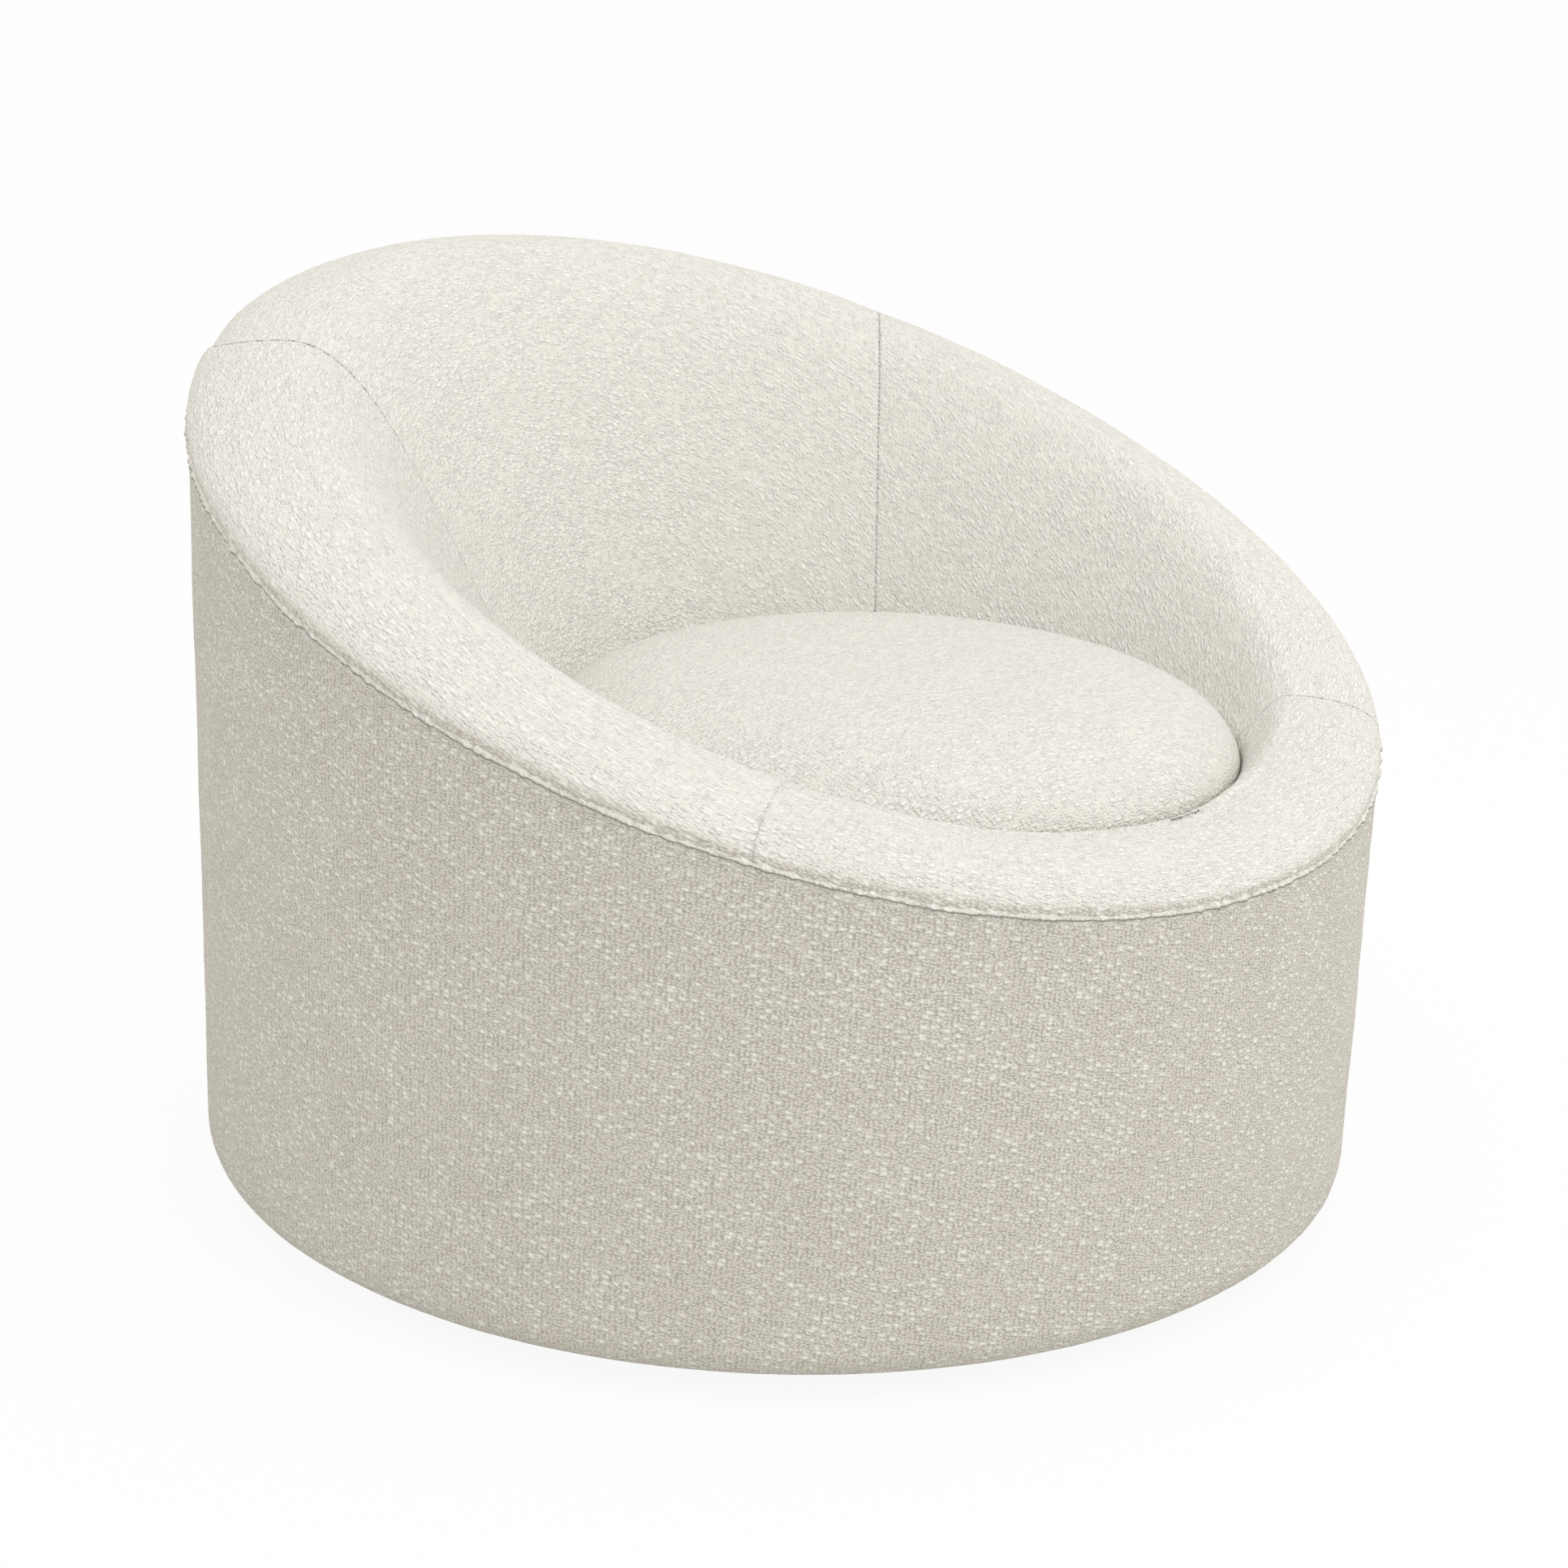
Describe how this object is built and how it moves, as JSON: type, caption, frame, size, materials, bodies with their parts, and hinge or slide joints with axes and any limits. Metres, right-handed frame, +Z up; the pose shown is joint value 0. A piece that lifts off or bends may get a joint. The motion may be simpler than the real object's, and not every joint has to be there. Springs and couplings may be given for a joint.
{
  "type": "upholstered swivel tub armchair",
  "caption": "Round upholstered tub armchair: a drum with a sloping padded rim and a crowned tight seat, turning on a recessed swivel plinth.",
  "frame": {"origin": "on the floor, where the swivel axis meets it", "axes": "+Z up along the swivel axis, -Y towards the front of the chair, +X to the right as seen from the front; left and right in the names of pieces are as seen from the front"},
  "size_m": [0.9059, 0.9059, 0.6784],
  "materials": {
    "boucle": "looped boucle weave, matt",
    "foam": "open cell upholstery foam",
    "wadding": "soft polyester wadding",
    "felt": "needled felt",
    "black_cloth": "non-woven cloth",
    "plywood": "birch plywood, uncoated",
    "timber": "sawn softwood",
    "hardboard": "smooth hardboard",
    "black_plinth": "black stained",
    "steel": "zinc plated",
    "spring_steel": "black lacquered wire",
    "cage": "pressed sheet",
    "nylon": "moulded nylon"
  },
  "bodies": {
    "base": {"glides": "nylon", "plinth": "black_plinth", "lower_swivel_plate": "steel", "plinth_screws": "steel", "centre_pin": "steel"},
    "bearing": {"ball_cage": "cage", "bearing_balls": "steel"},
    "tub": {"upper_swivel_plate": "steel", "swivel_bolts": "steel", "tee_nuts": "steel", "bottom_ring": "plywood", "base_board": "plywood", "posts": "timber", "post_screws": "steel", "seat_cleats": "timber", "cleat_screws": "steel", "seat_board": "plywood", "sinuous_springs": "spring_steel", "spring_clips": "steel", "deck_pad": "felt", "seat_core": "foam", "seat_topper": "wadding", "top_ring": "plywood", "inner_shell": "plywood", "outer_skin": "hardboard", "side_wadding": "wadding", "rim_foam": "foam", "back_foam": "foam", "side_cover": "boucle", "rim_welt": "boucle", "lining_back": "boucle", "lining_left": "boucle", "lining_front": "boucle", "lining_right": "boucle", "seat_cover": "boucle", "dust_cover": "black_cloth"}
  },
  "joints": [
    {"name": "swivel", "type": "hinge", "parent": "base", "child": "tub", "pos_m": [0, 0, 0.032], "axis": [0, 0, 1], "continuous": true},
    {"name": "ball_roll", "type": "hinge", "parent": "base", "child": "bearing", "pos_m": [0, 0, 0.032], "axis": [0, 0, 1], "continuous": true}
  ],
  "couplings": [
    {"joint": "ball_roll", "follows": "swivel", "ratio": 0.5}
  ]
}
